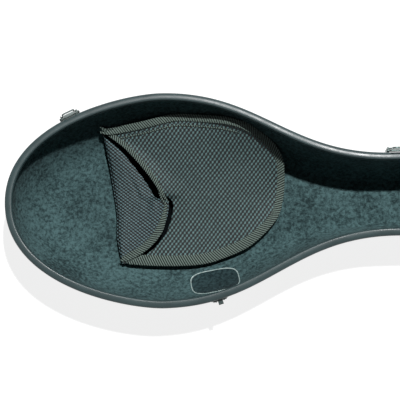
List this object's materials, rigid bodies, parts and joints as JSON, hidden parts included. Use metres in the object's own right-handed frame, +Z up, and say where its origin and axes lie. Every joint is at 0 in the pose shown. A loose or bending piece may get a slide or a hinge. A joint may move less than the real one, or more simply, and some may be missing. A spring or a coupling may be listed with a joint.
{
  "type": "cello case",
  "caption": "Hard cello case, open flat: bowl-shaped lid with a mesh pocket and a padded base, hinged at the scroll end, with draw latches and a carrying handle.",
  "frame": {"origin": "on the floor under the middle of the bounding box of the open case", "axes": "+X from the lid towards the base along the case, +Y across it towards the handle side, +Z up"},
  "size_m": [2.696, 0.561, 0.1735],
  "materials": {
    "shell_plastic": "satin moulded shell",
    "rim_plastic": "smooth satin edge profile",
    "plush": "short nap plush",
    "mesh_cloth": "knitted mesh",
    "binding": "ribbed tape",
    "bright_steel": "polished",
    "dark_metal": "dark satin",
    "rubber": "matt",
    "pad_cloth": "plush over foam"
  },
  "bodies": {
    "base": {"hinge_pin": "bright_steel", "base_shell": "shell_plastic", "base_rim": "rim_plastic", "base_lining": "plush", "hinge_leaf_base": "dark_metal", "base_catch_1": "dark_metal", "base_catch_2": "dark_metal", "base_latch_plate": "dark_metal", "base_latch_pin": "bright_steel", "handle_bracket_1": "shell_plastic", "handle_bracket_2": "shell_plastic", "foot_1": "rubber", "foot_2": "rubber", "foot_3": "rubber", "foot_4": "rubber", "strap_loop_1": "dark_metal", "strap_loop_2": "dark_metal", "strap_loop_3": "dark_metal", "body_pad_1": "pad_cloth", "body_pad_2": "pad_cloth", "end_pad": "pad_cloth", "neck_cradle": "pad_cloth", "neck_strap": "binding"},
    "lid": {"lid_shell": "shell_plastic", "lid_rim": "rim_plastic", "lid_lining": "plush", "lid_latch_1_plate": "dark_metal", "lid_latch_1_pin": "bright_steel", "lid_latch_2_plate": "dark_metal", "lid_latch_2_pin": "bright_steel", "lid_catch": "dark_metal", "hinge_leaf_lid": "dark_metal", "pocket_front": "mesh_cloth", "pocket_flap": "mesh_cloth", "pocket_back": "plush", "pocket_tape": "binding", "pocket_gusset": "plush", "mouth_tape": "binding", "flap_tape": "binding"},
    "lid_latch_1_lever": {"lid_latch_1_lever": "bright_steel"},
    "lid_latch_1_bail": {"lid_latch_1_bail": "bright_steel"},
    "lid_latch_2_lever": {"lid_latch_2_lever": "bright_steel"},
    "lid_latch_2_bail": {"lid_latch_2_bail": "bright_steel"},
    "base_latch_lever": {"base_latch_lever": "bright_steel"},
    "base_latch_bail": {"base_latch_bail": "bright_steel"},
    "handle": {"handle_bar": "dark_metal", "handle_grip": "rubber"}
  },
  "joints": [
    {"name": "lid_hinge", "type": "hinge", "parent": "base", "child": "lid", "pos_m": [0, -0.00953, 0.15], "axis": [0, 1, 0], "range_deg": [0, 180]},
    {"name": "lid_latch_1_lever_swing", "type": "hinge", "parent": "lid", "child": "lid_latch_1_lever", "pos_m": [-1.18895, 0.20761, 0.124], "axis": [0.9071, 0.421, 0], "range_deg": [0, 130]},
    {"name": "lid_latch_1_bail_swing", "type": "hinge", "parent": "lid_latch_1_lever", "child": "lid_latch_1_bail", "pos_m": [-1.1921, 0.21442, 0.116], "axis": [0.9071, 0.421, 0], "range_deg": [-143, 0]},
    {"name": "lid_latch_2_lever_swing", "type": "hinge", "parent": "lid", "child": "lid_latch_2_lever", "pos_m": [-0.382, 0.09997, 0.124], "axis": [1, 0, 0], "range_deg": [0, 130]},
    {"name": "lid_latch_2_bail_swing", "type": "hinge", "parent": "lid_latch_2_lever", "child": "lid_latch_2_bail", "pos_m": [-0.382, 0.10747, 0.116], "axis": [1, 0, 0], "range_deg": [-143, 0]},
    {"name": "base_latch_lever_swing", "type": "hinge", "parent": "base", "child": "base_latch_lever", "pos_m": [0.82704, -0.26287, 0.124], "axis": [-0.9601, 0.2798, 0], "range_deg": [0, 130]},
    {"name": "base_latch_bail_swing", "type": "hinge", "parent": "base_latch_lever", "child": "base_latch_bail", "pos_m": [0.82494, -0.27007, 0.116], "axis": [-0.9601, 0.2798, 0], "range_deg": [-143, 0]},
    {"name": "handle_swing", "type": "hinge", "parent": "base", "child": "handle", "pos_m": [0.94764, 0.26823, 0.106], "axis": [0.9996, 0.0275, 0], "range_deg": [0, 110]}
  ],
  "couplings": [
    {"joint": "lid_latch_1_bail_swing", "follows": "lid_latch_1_lever_swing", "ratio": -1.1},
    {"joint": "lid_latch_2_bail_swing", "follows": "lid_latch_2_lever_swing", "ratio": -1.1},
    {"joint": "base_latch_bail_swing", "follows": "base_latch_lever_swing", "ratio": -1.1}
  ]
}
